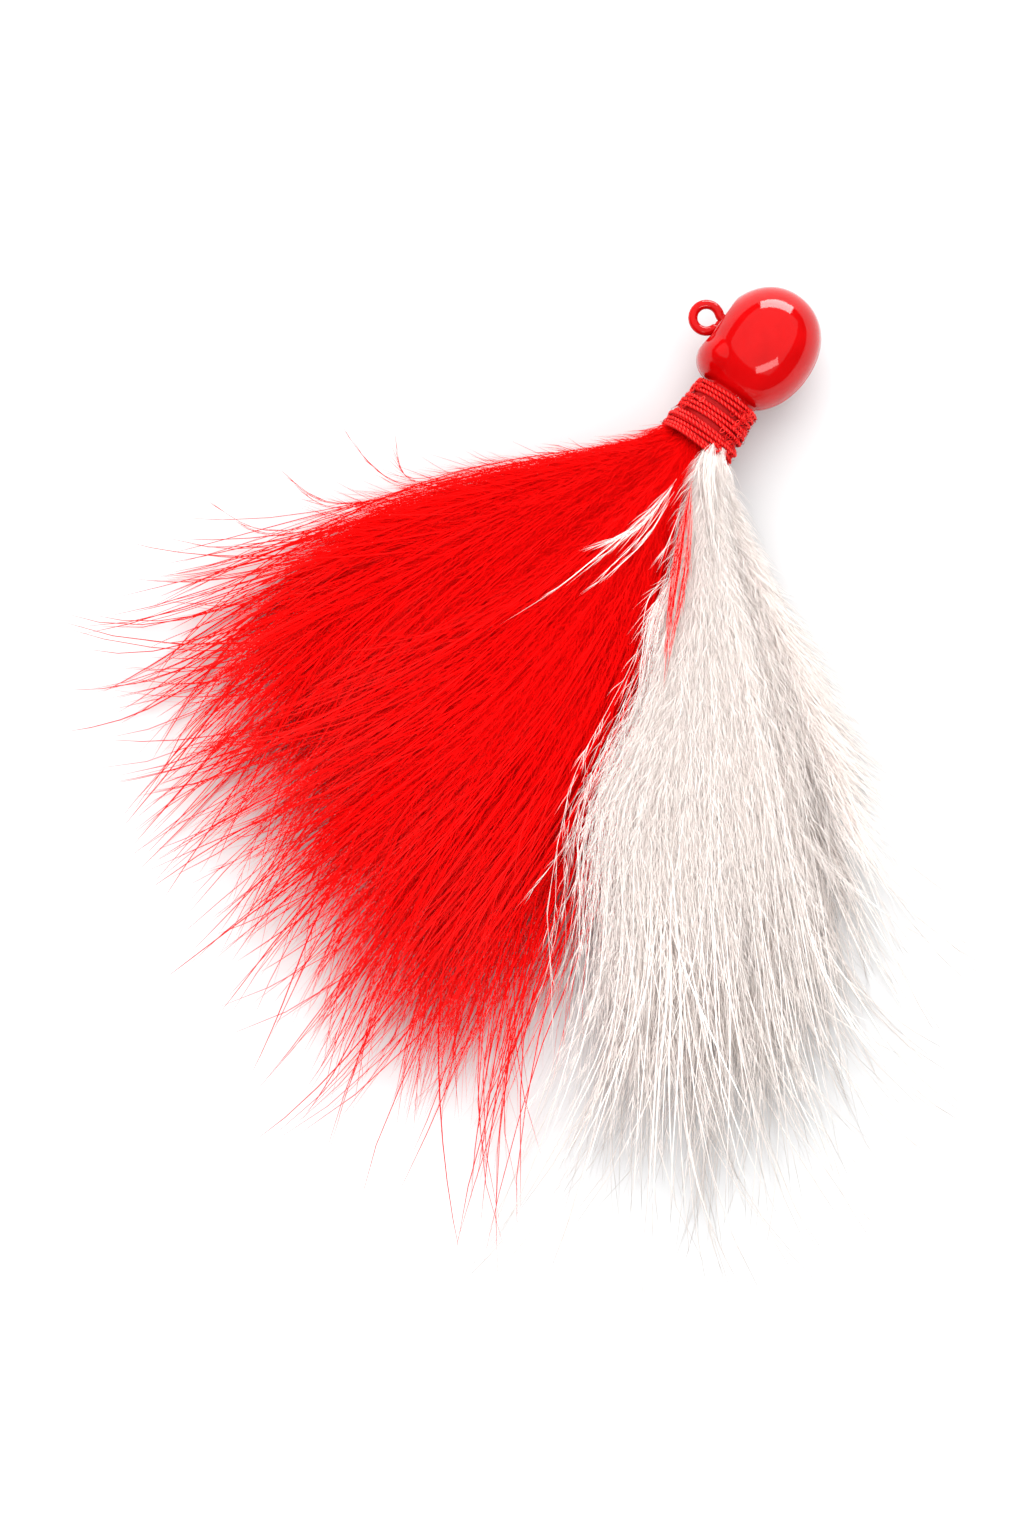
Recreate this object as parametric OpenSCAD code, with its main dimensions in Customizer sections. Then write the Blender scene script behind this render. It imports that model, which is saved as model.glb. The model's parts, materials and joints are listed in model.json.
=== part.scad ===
// Marabou fishing jig: a ball-head jig hook dressed with a fan of soft feather plumes.
// Frame: origin at the centre of the line eye's hole, +Z through the hole and up from the table
// that the jig lies on, +X along the hook shank towards the tail, +Y towards the white plumes.

/* [Head] */
// Radius of the cast ball, paint included
ball_r = 4.35; // [4.2:0.05:4.5]
// Distance from the eye centre to the shank's axis
shank_y = 4.65; // [4.5:0.05:4.8]
// Ball centre along the shank, from the eye centre
ball_x = -0.45; // [-0.6:0.05:-0.2]
// Distance from the eye centre to the flat on the ball's eye side
flat_y = 1.3; // [1.25:0.05:1.5]
// Radius of the rounded heel between the flat and the neck
heel_r = 1.6; // [1.4:0.1:1.7]
// Radius of the neck behind the ball
neck_r = 2.2; // [2:0.1:2.3]
// Radius of the keeper sleeve that the thread is wound on
sleeve_r = 1.1; // [1:0.05:1.15]

/* [Hook] */
// Diameter of the hook wire
wire_d = 0.66; // [0.6:0.02:0.7]
// Diameter of the painted wire in the line eye
eye_wire_d = 0.69; // [0.66:0.01:0.72]
// Outer diameter of the line eye
eye_outer_d = 2.66; // [2.6:0.02:2.8]
// Radius of the hole through the line eye, at its narrowest
eye_hole_r = 0.68; // [0.66:0.01:0.7]
// Straight length of the shank behind the eye's elbow
shank_len = 22.5; // [22:0.5:23]
// Gap between the shank and the point, centre to centre
hook_gap = 8.2; // [7.8:0.1:8.4]
// Length of the straight wire between the bend and the point
point_straight = 4.5; // [4:0.5:5]
// Length of the tapered point
point_len = 2.6; // [2:0.1:3]

/* [Thread] */
// Where the winding starts, along the shank
wind_x = 4; // [3.9:0.05:4.1]
// Length of the whole winding
wind_len = 4.15; // [4.1:0.05:4.2]
// Outer radius of the winding at the head
wind_r_front = 2.5; // [2.4:0.05:2.6]
// Outer radius of the winding at the tail
wind_r_rear = 2.9; // [2.8:0.05:3]
// Thickness of one turn of thread
thread_d = 0.36; // [0.3:0.02:0.4]

/* [Plumes] */
// Distance from the winding's tail end to the axis that the plumes sway about
pivot_gap = 0.15; // [0.1:0.05:0.2]
// Diameter of a plume's quill where it leaves the winding
quill_d = 0.56; // [0.5:0.02:0.58]
// Diameter of a quill at its tip
quill_tip_d = 0.16; // [0.12:0.02:0.2]
// Share of a plume's length that its quill reaches
quill_share = 0.62; // [0.5:0.02:0.7]
// Thickness of a plume's barbs, lying together as one soft web
web_t = 0.44; // [0.36:0.02:0.46]

/* [Hidden] */
$fn = 48;
eps = 0.01;           // clearance round a wire that the lead is cast on
sliver = 0.02;        // gap between a quill and the barbs on it

// Colours
paint_red = [0.82, 0.02, 0.02];
steel = [0.42, 0.42, 0.45];
thread_red = [0.78, 0.03, 0.04];
feather_red = [0.95, 0.02, 0.02];
feather_white = [0.96, 0.93, 0.89];
quill_white = [0.9, 0.86, 0.76];

// Line eye and hook
eye_mean_r = (eye_outer_d - eye_wire_d) / 2;
wire_r = wire_d / 2;
elbow_r = 1;                                  // centre-line radius of the 90 degree elbow
shank_x0 = elbow_r;                           // where the straight shank begins
shank_x1 = shank_x0 + shank_len;
gap_r = hook_gap / 2;
point_y = shank_y - hook_gap;
barb_len = 1.1;
barb_lift = 0.5;

// Head and sleeve
neck_x1 = wind_x;
sleeve_x1 = wind_x + wind_len - 0.35;
heel_reach = 4.62;                            // ball centre to the heel's outermost point
heel_angle = 47;                              // its direction, from +X towards the eye side

// Winding: base layer on the quill butts, then three bands and the whip finish
butt_r = 0.3;
butt_ring_r = sleeve_r + butt_r + sliver;
base_r0 = butt_ring_r + butt_r + sliver;
base_r1 = base_r0 + 0.2;
finish_len = 0.55;
band_gap = 0.06;
band_len = (wind_len - finish_len - 3 * band_gap) / 3;
band_x = [for (i = [0 : 2]) wind_x + i * (band_len + band_gap)];
finish_x = wind_x + wind_len - finish_len;

// Fan of plumes. They leave the winding in six layers, three each side of the hook's plane.
pivot_x = wind_x + wind_len + pivot_gap;
start_r = 1;                                  // where a quill begins, from the sway axis
web_start_r = 2.6;                            // where the barbs begin
belly_r = 24;                                 // where the fan is thickest
fan_r = 62;                                   // where the longest plume ends
floor_z = -ball_r;
layers = [-3, -2, -1, 1, 2, 3];
root_z = [-2.15, -1.45, -0.75, 0.75, 1.45, 2.15];
belly_z = [-3.7, -2.5, -1.25, 1.0, 2.1, 3.2];
tip_z = [for (i = [0 : 5]) floor_z + web_t / 2 + i * 0.72];

// Each plume: direction from +X towards +Y, half-width, length, layer
AIM = 0;
HALF = 1;
LEN = 2;
LAYER = 3;
RED_PLUMES = [
    [-38, 14, 46, -3],
    [-16, 14, 52, -2],
    [6, 14, 57, -1],
    [-30, 14, 50, 1],
    [-2, 15, 56, 2]
];
WHITE_PLUMES = [
    [52, 11, 50, -3],
    [34, 12, 60, -2],
    [44, 13, 60, 1],
    [31, 13, 62, 3]
];
web_rings = 14;
web_columns = 3;
quill_rings = 12;
quill_sides = 8;

function ease(t) = t * t * (3 - 2 * t);
function mix(a, b, t) = a + (b - a) * t;
function layer_index(layer) = search(layer, layers)[0];

// Height of a layer at a distance r from the sway axis. It doesn't depend on the direction,
// so a plume stays in its own layer as it sways.
function layer_height(layer, r) =
    let (i = layer_index(layer))
    r < belly_r ? mix(root_z[i], belly_z[i], ease(r / belly_r))
                : mix(belly_z[i], tip_z[i], ease(min(1, (r - belly_r) / (fan_r - belly_r))));

// Half-width of a plume, in degrees, at a share s of its length: narrow root, full middle, pointed tip
function web_half(plume, s) = plume[HALF] * pow(min(1, s / 0.4), 0.7) * sqrt(max(0.012, 1 - pow(s, 3.5)));

function quill_radius(plume, r) = mix(quill_d, quill_tip_d, r / (quill_share * plume[LEN])) / 2;

// Angle from a plume's centre line to the edge of its quill, or to the parting beyond the quill's tip
function parting_angle(plume, r) =
    asin(((r < quill_share * plume[LEN] + 0.3 ? quill_radius(plume, r) : 0) + sliver) / r);

// One side's barbs as a thin closed web that thins towards its outer edge
module web(plume, side) {
    n = web_rings;
    m = web_columns;
    ring = 2 * (m + 1);
    points = [
        for (i = [0 : n]) let (
            r = mix(web_start_r, plume[LEN], i / n),
            inner = parting_angle(plume, r),
            outer = max(inner + 0.3, web_half(plume, r / plume[LEN])),
            z = layer_height(plume[LAYER], r),
            body = web_t * min(1, 0.6 + 0.4 * r / belly_r)
        )
        for (level = [-1, 1], j = [0 : m]) let (
            a = side * mix(inner, outer, j / m),
            half = body / 2 * (1 - 0.7 * pow(j / m, 2))
        )
        [r * cos(a), r * sin(a), z + level * half]
    ];
    loop = concat([for (j = [0 : m]) j], [for (j = [m : -1 : 0]) m + 1 + j]);
    skin = [
        for (i = [0 : n - 1], k = [0 : ring - 1]) let (
            a = loop[k],
            b = loop[(k + 1) % ring]
        )
        each [
            [i * ring + a, i * ring + b, (i + 1) * ring + b],
            [i * ring + a, (i + 1) * ring + b, (i + 1) * ring + a]
        ]
    ];
    cap = [for (j = [0 : m - 1]) each [[j, m + 1 + j, m + 2 + j], [j, m + 2 + j, j + 1]]];
    far_cap = [for (f = cap) [for (v = [2, 1, 0]) f[v] + n * ring]];
    faces = concat(skin, cap, far_cap);
    polyhedron(points, side > 0 ? faces : [for (f = faces) [f[2], f[1], f[0]]]);
}

module at_plume(plume) {
    translate([pivot_x, shank_y, 0]) rotate([0, 0, plume[AIM]]) children();
}

module plume_barbs(plume, tint) {
    color(tint) at_plume(plume) for (side = [-1, 1]) web(plume, side);
}

module plume_quill(plume, tint) {
    n = quill_rings;
    s = quill_sides;
    points = [
        for (i = [0 : n]) let (r = mix(start_r, quill_share * plume[LEN], i / n), q = quill_radius(plume, r))
        for (k = [0 : s - 1])
        [r, q * cos(k * 360 / s), layer_height(plume[LAYER], r) + q * sin(k * 360 / s)]
    ];
    skin = [
        for (i = [0 : n - 1], k = [0 : s - 1]) let (a = i * s + k, b = i * s + (k + 1) % s)
        each [[a, b + s, b], [a, a + s, b + s]]
    ];
    near_cap = [for (k = [1 : s - 2]) [0, k, k + 1]];
    far_cap = [for (f = near_cap) [for (v = [2, 1, 0]) f[v] + n * s]];
    color(tint) at_plume(plume) polyhedron(points, concat(skin, near_cap, far_cap));
}

module along_shank(x) {
    translate([x, shank_y, 0]) rotate([0, 90, 0]) children();
}

// The wire's path inside the head, cut out of the casting
module wire_channel() {
    r = wire_r + eps;
    translate([0, shank_y - elbow_r, 0]) rotate([90, 0, 0]) cylinder(r = r, h = shank_y);
    translate([elbow_r, shank_y - elbow_r, 0]) rotate([0, 0, 90])
        rotate_extrude(angle = 90) translate([elbow_r, 0]) circle(r = r);
    along_shank(shank_x0) cylinder(r = r, h = sleeve_x1);
}

module jig_head() {
    heel_c = heel_reach - heel_r;
    color(paint_red) difference() {
        union() {
            translate([ball_x, shank_y, 0]) sphere(r = ball_r);
            translate([ball_x + heel_c * cos(heel_angle), shank_y - heel_c * sin(heel_angle), 0])
                sphere(r = heel_r);
            along_shank(ball_x) cylinder(r = neck_r, h = neck_x1 - ball_x - 0.02);
            along_shank(ball_x) cylinder(r = sleeve_r, h = sleeve_x1 - ball_x);
        }
        translate([-ball_r * 2, flat_y - ball_r, -ball_r * 1.5]) cube([ball_r * 4, ball_r, ball_r * 3]);
        wire_channel();
    }
}

// Line eye: a ring, the leg under it and the elbow that turns along the shank
module hook_eye() {
    leg_y0 = eye_mean_r + wire_r * 0.4;
    color(paint_red) {
        difference() {
            union() {
                rotate_extrude() translate([eye_mean_r, 0]) circle(d = eye_wire_d);
                translate([0, shank_y - elbow_r, 0]) rotate([90, 0, 0])
                    cylinder(r = wire_r, h = shank_y - elbow_r - leg_y0);
            }
            cylinder(r = eye_hole_r, h = eye_wire_d * 2, center = true);
        }
        translate([elbow_r, shank_y - elbow_r, 0]) rotate([0, 0, 90])
            rotate_extrude(angle = 90) translate([elbow_r, 0]) circle(r = wire_r);
    }
}

module hook_shank() {
    color(steel) along_shank(shank_x0) cylinder(r = wire_r, h = shank_len);
}

module hook_bend() {
    color(steel) translate([shank_x1, shank_y - gap_r, 0]) rotate([0, 0, -90])
        rotate_extrude(angle = 180) translate([gap_r, 0]) circle(r = wire_r);
}

module hook_point() {
    color(steel) translate([shank_x1, point_y, 0]) rotate([0, -90, 0]) {
        cylinder(r = wire_r, h = point_straight);
        translate([0, 0, point_straight]) cylinder(r1 = wire_r, r2 = 0.02, h = point_len);
        translate([0, wire_r * 0.6, point_straight + 0.3]) rotate([-90 - 115, 0, 0])
            cylinder(r1 = 0.2, r2 = 0.03, h = barb_len);
    }
}

function wind_r(x) = mix(wind_r_front, wind_r_rear, (x - wind_x) / wind_len);

// A band of thread turns: a sleeve whose outside has one round ridge for each turn
module thread_band(x0, len, tuck) {
    turns = max(1, round(len / thread_d));
    steps = turns * 6;
    ridge = thread_d * 0.28;
    outside = [
        for (i = [0 : steps]) let (x = len * i / steps)
        [wind_r(x0 + x) - tuck - ridge * (1 - abs(sin(180 * turns * i / steps))), x]
    ];
    color(thread_red) along_shank(x0)
        rotate_extrude() polygon(concat([[base_r1, 0]], outside, [[base_r1, len]]));
}

module thread_base_layer() {
    color(thread_red) along_shank(wind_x) difference() {
        cylinder(r = base_r1, h = wind_len);
        translate([0, 0, -1]) cylinder(r = base_r0, h = wind_len + 2);
    }
}

module thread_front_band() {
    thread_band(band_x[0], band_len, 0);
}

module thread_middle_band() {
    thread_band(band_x[1], band_len, 0);
}

module thread_rear_band() {
    thread_band(band_x[2], band_len, 0);
}

module thread_whip_finish() {
    thread_band(finish_x, finish_len, thread_d / 2);
}

// Cut ends of the quills, side by side round the sleeve under the thread
module quill_butts(count, first, step, tint) {
    color(tint) for (i = [0 : count - 1]) let (a = first + i * step)
        translate([0, butt_ring_r * cos(a), butt_ring_r * sin(a)])
            along_shank(wind_x + 0.15) cylinder(r = butt_r, h = wind_len - 0.15);
}

module red_quill_butts() {
    quill_butts(5, 120, 36, feather_red);
}

module white_quill_butts() {
    quill_butts(4, -54, 36, quill_white);
}

jig_head();
hook_eye();
hook_shank();
hook_bend();
hook_point();
thread_base_layer();
thread_front_band();
thread_middle_band();
thread_rear_band();
thread_whip_finish();
red_quill_butts();
white_quill_butts();
for (i = [0 : len(RED_PLUMES) - 1]) {
    plume_barbs(RED_PLUMES[i], feather_red);
    plume_quill(RED_PLUMES[i], feather_red);
}
for (i = [0 : len(WHITE_PLUMES) - 1]) {
    plume_barbs(WHITE_PLUMES[i], feather_white);
    plume_quill(WHITE_PLUMES[i], quill_white);
}
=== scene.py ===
"""Looks for a marabou fishing jig: painted ball head, line eye, wound collar and a fan of feather plumes.

Lengths are in mm, and are turned into Blender's metres where a mesh, a light or the camera is made."""
import json
import math

import bpy
import numpy as np
from mathutils import Matrix, Vector


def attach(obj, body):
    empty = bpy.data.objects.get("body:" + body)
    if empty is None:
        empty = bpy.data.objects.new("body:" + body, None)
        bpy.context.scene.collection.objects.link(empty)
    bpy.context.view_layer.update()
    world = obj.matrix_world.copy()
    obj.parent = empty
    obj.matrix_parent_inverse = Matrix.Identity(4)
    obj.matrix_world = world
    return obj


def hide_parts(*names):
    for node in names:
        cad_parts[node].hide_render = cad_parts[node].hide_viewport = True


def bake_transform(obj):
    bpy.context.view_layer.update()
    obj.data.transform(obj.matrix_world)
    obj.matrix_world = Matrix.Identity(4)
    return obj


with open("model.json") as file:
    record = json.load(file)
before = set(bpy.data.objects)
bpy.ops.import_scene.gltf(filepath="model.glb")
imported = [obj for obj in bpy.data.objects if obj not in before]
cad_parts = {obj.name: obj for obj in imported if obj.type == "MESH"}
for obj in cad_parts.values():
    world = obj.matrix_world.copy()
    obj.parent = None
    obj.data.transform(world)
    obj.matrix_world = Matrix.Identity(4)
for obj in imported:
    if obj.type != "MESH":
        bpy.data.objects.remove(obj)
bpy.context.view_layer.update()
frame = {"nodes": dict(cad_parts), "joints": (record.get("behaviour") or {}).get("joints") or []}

MM = 0.001
WIRE_R = 0.33               # bare hook wire
RED_PLUMES = ["red_plume_%d" % i for i in range(1, 6)]
WHITE_PLUMES = ["white_plume_%d" % i for i in range(1, 5)]


# ---------------------------------------------------------------- places read from the frame, in mm

def node_points(node):
    mesh = frame["nodes"][node].data
    flat = np.zeros(len(mesh.vertices) * 3)
    mesh.vertices.foreach_get("co", flat)
    return flat.reshape(-1, 3) / MM


def node_box(node):
    points = node_points(node)
    return points.min(0), points.max(0)


PIVOT = next(np.array(j["pos_m"]) / MM for j in frame["joints"] if j["child"] == RED_PLUMES[0])
SHANK_Y = PIVOT[1]
head_low, head_high = node_box("jig_head")
BALL_R = head_high[2]
BALL = np.array([head_low[0] + BALL_R, SHANK_Y, 0.0])
FLAT_Y = head_low[1]
FLOOR_Z = -BALL_R
EYE_R = node_box("hook_eye")[1][2]
EYE_MEAN_R = -node_box("hook_eye")[0][1] - EYE_R
WIND_X0 = node_box("thread_front_band")[0][0]
WIND_X1 = node_box("thread_whip_finish")[1][0]
MOUTH_R = node_box("thread_whip_finish")[1][2]


# ---------------------------------------------------------------- camera, as the photograph looks down

FRAME_HEIGHT = 112.1        # mm of the scene that the tall side of the picture takes in
CAMERA_DISTANCE = 190.0
SENSOR_WIDTH = 36
VIEW_CENTRE = (35.05, 7.23)
PICTURE_RIGHT = Vector((-0.5736, 0.8192, 0.0))
PICTURE_UP = Vector((-0.8192, -0.5736, 0.0))


def make_camera():
    data = bpy.data.cameras.new("camera")
    camera = bpy.data.objects.new("camera", data)
    bpy.context.scene.collection.objects.link(camera)
    turn = Matrix((PICTURE_RIGHT, PICTURE_UP, (0, 0, 1))).transposed()
    place = Vector((VIEW_CENTRE[0], VIEW_CENTRE[1], CAMERA_DISTANCE)) * MM
    camera.matrix_world = Matrix.Translation(place) @ turn.to_4x4()
    data.sensor_width = SENSOR_WIDTH
    data.lens = data.sensor_width * CAMERA_DISTANCE / FRAME_HEIGHT
    data.clip_start = 0.005
    data.clip_end = 20
    data.dof.use_dof = False
    bpy.context.scene.camera = camera


make_camera()


# ---------------------------------------------------------------- mesh helpers

def mesh_object(name, points, faces, smooth=True, uv=None):
    """points in mm; faces is a list of index arrays, one array of shape (n, 3) or (n, 4) for each kind."""
    mesh = bpy.data.meshes.new(name)
    loops = np.concatenate([f.ravel() for f in faces]).astype(np.int32)
    sizes = np.concatenate([np.full(len(f), f.shape[1]) for f in faces])
    starts = np.concatenate([[0], np.cumsum(sizes)[:-1]]).astype(np.int32)
    mesh.vertices.add(len(points))
    mesh.vertices.foreach_set("co", (np.asarray(points) * MM).astype(np.float32).ravel())
    mesh.loops.add(len(loops))
    mesh.loops.foreach_set("vertex_index", loops)
    mesh.polygons.add(len(sizes))
    mesh.polygons.foreach_set("loop_start", starts)
    mesh.polygons.foreach_set("use_smooth", np.full(len(sizes), smooth))
    if uv is not None:
        layer = mesh.uv_layers.new(name="OFBake")
        layer.data.foreach_set("uv", uv[loops].astype(np.float32).ravel())
    mesh.update(calc_edges=True)
    mesh.validate()
    piece = bpy.data.objects.new(name, mesh)
    bpy.context.scene.collection.objects.link(piece)
    return piece


def normalised(v):
    return v / np.maximum(np.linalg.norm(v, axis=-1, keepdims=True), 1e-12)


HAIR_SIDES = 3


def strand_mesh(name, paths, radii, ids, tip=1.0):
    """Closed tapered hairs. paths is (n, k, 3), radii (n, k) and ids (n,); each hair ends in a point.

    tip is how far along the material's run of colour the hairs end."""
    n, k, _ = paths.shape
    sides = HAIR_SIDES
    along = normalised(np.gradient(paths, axis=1))
    up = np.broadcast_to(np.array([0.0, 0.0, 1.0]), along.shape)
    across = normalised(np.cross(along, up))
    lift = np.cross(across, along)
    spin = ids[:, None, None] * 17.0
    rings = []
    for s in range(sides):
        a = spin + 2 * math.pi * s / sides
        rings.append(paths + radii[..., None] * (across * np.cos(a) + lift * np.sin(a)))
    ring_points = np.stack(rings, axis=2)[:, :-1]          # (n, k-1, sides, 3)
    body = ring_points.reshape(n, -1, 3)
    points = np.concatenate([body, paths[:, -1:]], axis=1)
    per = (k - 1) * sides + 1
    base = (np.arange(n) * per)[:, None, None]
    i = np.arange(k - 2)[None, :, None]
    s = np.arange(sides)[None, None, :]
    t = (s + 1) % sides
    quads = np.stack([base + i * sides + s, base + i * sides + t,
                      base + (i + 1) * sides + t, base + (i + 1) * sides + s], axis=-1)
    last = (k - 2) * sides
    tips = np.stack([base + last + s, base + last + t, base + per - 1 + 0 * s], axis=-1)
    caps = np.stack([base[:, :, 0] + (sides - 1 - j) for j in range(sides)], axis=-1)
    u = np.linspace(0, tip, k)
    u = np.concatenate([np.repeat(u[:-1], sides), u[-1:]])
    uv = np.stack([np.tile(u, n), np.repeat(ids, per)], axis=-1)
    faces = [quads.reshape(-1, 4), tips.reshape(-1, 3), caps.reshape(-1, sides)]
    return mesh_object(name, points.reshape(-1, 3), faces, uv=uv)


def tube_arrays(path, radius, sides):
    """Points and quads of a tube along a path of shape (k, 3), with closed flat ends."""
    path = np.asarray(path, float)
    k = len(path)
    radius = np.broadcast_to(radius, (k,))
    along = normalised(np.gradient(path, axis=0))
    side = np.zeros_like(path)
    guess = np.cross(along[0], [0.0, 0.0, 1.0])
    if np.linalg.norm(guess) < 1e-3:
        guess = np.cross(along[0], [0.0, 1.0, 0.0])
    for i in range(k):
        guess = guess - along[i] * (guess @ along[i])
        guess = guess / np.linalg.norm(guess)
        side[i] = guess
    other = np.cross(along, side)
    a = np.linspace(0, 2 * math.pi, sides, endpoint=False)
    ring = side[:, None] * np.cos(a)[None, :, None] + other[:, None] * np.sin(a)[None, :, None]
    points = (path[:, None] + radius[:, None, None] * ring).reshape(-1, 3)
    points = np.concatenate([points, path[:1], path[-1:]])
    i = np.arange(k - 1)[:, None]
    s = np.arange(sides)[None, :]
    t = (s + 1) % sides
    quads = np.stack([i * sides + s, i * sides + t, (i + 1) * sides + t, (i + 1) * sides + s], -1)
    s, t = s[0], t[0]
    near = np.stack([t, s, np.full(sides, k * sides)], -1)
    far = np.stack([(k - 1) * sides + s, (k - 1) * sides + t, np.full(sides, k * sides + 1)], -1)
    return points, quads.reshape(-1, 4), np.concatenate([near, far])


def joined(parts):
    """Several (points, quads, triangles) tubes as the points and faces of one mesh."""
    points, quads, tris, count = [], [], [], 0
    for p, q, t in parts:
        points.append(p)
        quads.append(q + count)
        tris.append(t + count)
        count += len(p)
    return np.concatenate(points), [np.concatenate(quads), np.concatenate(tris)]


def tubes_object(name, tubes):
    """One object of several (path, radius, sides) tubes."""
    return mesh_object(name, *joined([tube_arrays(*tube) for tube in tubes]))


def relax(path, times):
    """Rounds off the corners of a path and keeps its ends."""
    for _ in range(times):
        path[1:-1] = (path[:-2] + 2 * path[1:-1] + path[2:]) / 4
    return path


def ease(t):
    t = np.clip(t, 0, 1)
    return t * t * (3 - 2 * t)


def smooth_min(a, b, k):
    h = np.clip(0.5 + 0.5 * (b - a) / k, 0, 1)
    return b + (a - b) * h - k * h * (1 - h)


def smooth_max(a, b, k):
    return -smooth_min(-a, -b, k)


# ---------------------------------------------------------------- materials

def new_material(name, color, roughness, **sockets):
    material = bpy.data.materials.new(name)
    material.use_nodes = True
    shader = material.node_tree.nodes["Principled BSDF"]
    shader.inputs["Base Color"].default_value = (*color, 1)
    shader.inputs["Roughness"].default_value = roughness
    for key, value in sockets.items():
        shader.inputs[key.replace("_", " ")].default_value = value
    return material, material.node_tree, shader


def add_node(tree, kind, **settings):
    node = tree.nodes.new(kind)
    for key, value in settings.items():
        setattr(node, key, value)
    return node


def bump(tree, shader, height, strength, distance_mm):
    node = add_node(tree, "ShaderNodeBump")
    node.inputs["Strength"].default_value = strength
    node.inputs["Distance"].default_value = distance_mm * MM
    tree.links.new(height, node.inputs["Height"])
    tree.links.new(node.outputs["Normal"], shader.inputs["Normal"])


def noise(tree, size_mm, detail):
    """Noise with features about size_mm across, in the object's own space."""
    place = add_node(tree, "ShaderNodeTexCoord")
    node = add_node(tree, "ShaderNodeTexNoise")
    node.inputs["Scale"].default_value = 1 / (size_mm * MM)
    node.inputs["Detail"].default_value = detail
    tree.links.new(place.outputs["Object"], node.inputs["Vector"])
    return node.outputs["Fac"]


def ramp(tree, factor, stops):
    node = add_node(tree, "ShaderNodeValToRGB")
    band = node.color_ramp
    while len(band.elements) < len(stops):
        band.elements.new(0.5)
    for element, (place, color) in zip(band.elements, stops):
        element.position = place
        element.color = (*color, 1)
    tree.links.new(factor, node.inputs["Fac"])
    return node.outputs["Color"]


def powder_paint():
    """Glossy baked powder paint: even colour with a fine grain and a faint orange peel."""
    material, tree, shader = new_material("powder_paint", (0.43, 0.001, 0.002), 0.07)
    shader.inputs["Specular IOR Level"].default_value = 0.26
    color = ramp(tree, noise(tree, 1.8, 3.0), [(0.3, (0.40, 0.0006, 0.001)), (0.7, (0.47, 0.001, 0.0016))])
    tree.links.new(color, shader.inputs["Base Color"])
    bump(tree, shader, noise(tree, 0.16, 3.0), 0.10, 0.02)
    return material


def hook_steel():
    material, tree, shader = new_material("hook_steel", (0.45, 0.44, 0.43), 0.3, Metallic=1.0)
    color = ramp(tree, noise(tree, 0.5, 4.0), [(0.3, (0.34, 0.32, 0.31)), (0.7, (0.52, 0.51, 0.5))])
    tree.links.new(color, shader.inputs["Base Color"])
    return material


def strand_uv(tree):
    """The UV that strands and thread carry, and its u alone."""
    place = add_node(tree, "ShaderNodeUVMap", uv_map="OFBake")
    split = add_node(tree, "ShaderNodeSeparateXYZ")
    tree.links.new(place.outputs["UV"], split.inputs["Vector"])
    return place.outputs["UV"], split.outputs["X"]


def thread_material():
    """Waxed twisted thread, with painted shade between its plies and a painted highlight on their crests.

    u is how far a point stands out of the thread's own line."""
    material, tree, shader = new_material("red_thread", (0.6, 0.004, 0.005), 0.4)
    shader.inputs["Specular IOR Level"].default_value = 0.1
    _, crest = strand_uv(tree)
    # low u is painted dark as painted shade, and the top of u is painted pale pink as a painted highlight
    color = ramp(tree, crest, [
        (0.0, (0.3, 0.0, 0.0)), (0.74, (0.4, 0.0008, 0.001)), (0.9, (0.7, 0.002, 0.003)),
        (0.99, (0.96, 0.05, 0.04))])
    tree.links.new(color, shader.inputs["Base Color"])
    return material


SHADE_SCALE = (3.0, 260.0, 0.0)     # shade changes slowly along a strand and quickly from one to the next


def strand_material(name, stops, shade, roughness, specular):
    """Colour runs from root to tip along u, and each strand (v) is a little lighter or darker."""
    material, tree, shader = new_material(name, stops[0][1], roughness)
    shader.inputs["Specular IOR Level"].default_value = specular
    uv, root_to_tip = strand_uv(tree)
    along = ramp(tree, root_to_tip, stops)
    scale = add_node(tree, "ShaderNodeVectorMath", operation="MULTIPLY")
    scale.inputs[1].default_value = SHADE_SCALE
    tree.links.new(uv, scale.inputs[0])
    vary = add_node(tree, "ShaderNodeTexNoise", noise_dimensions="2D")
    vary.inputs["Scale"].default_value = 1.0
    vary.inputs["Detail"].default_value = 1.0
    tree.links.new(scale.outputs["Vector"], vary.inputs["Vector"])
    tint = ramp(tree, vary.outputs["Fac"], shade)
    mixed = add_node(tree, "ShaderNodeMix", data_type="RGBA", blend_type="MULTIPLY")
    mixed.inputs["Factor"].default_value = 1.0
    tree.links.new(along, mixed.inputs["A"])
    tree.links.new(tint, mixed.inputs["B"])
    tree.links.new(mixed.outputs["Result"], shader.inputs["Base Color"])
    return material


PAINT = powder_paint()
STEEL = hook_steel()
THREAD = thread_material()
RED_DOWN = strand_material(
    "red_marabou", [(0.0, (0.97, 0.002, 0.002)), (0.6, (0.97, 0.001, 0.001)), (1.0, (0.96, 0.02, 0.018))],
    [(0.35, (0.88, 0.8, 0.8)), (0.65, (1.0, 1.0, 1.0))], 0.7, 0.04)
# the tips are painted grey, a painted shade that lets the long white wisps show against the bright floor
WHITE_DOWN = strand_material(
    "white_marabou",
    [(0.0, (0.9, 0.79, 0.76)), (0.15, (0.96, 0.895, 0.857)), (0.72, (0.95, 0.883, 0.845)),
     (1.0, (0.5, 0.455, 0.43))],
    [(0.35, (0.97, 0.968, 0.965)), (0.65, (1.0, 1.0, 1.0))], 0.6, 0.2)


def quill_material(name, low, high):
    material, tree, shader = new_material(name, low, 0.4)
    color = ramp(tree, noise(tree, 1.2, 3.0), [(0.3, low), (0.7, high)])
    tree.links.new(color, shader.inputs["Base Color"])
    return material


RED_QUILL = quill_material("red_quill", (0.62, 0.01, 0.008), (0.8, 0.03, 0.02))
WHITE_QUILL = quill_material("white_quill", (0.84, 0.76, 0.62), (0.93, 0.88, 0.78))


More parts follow.
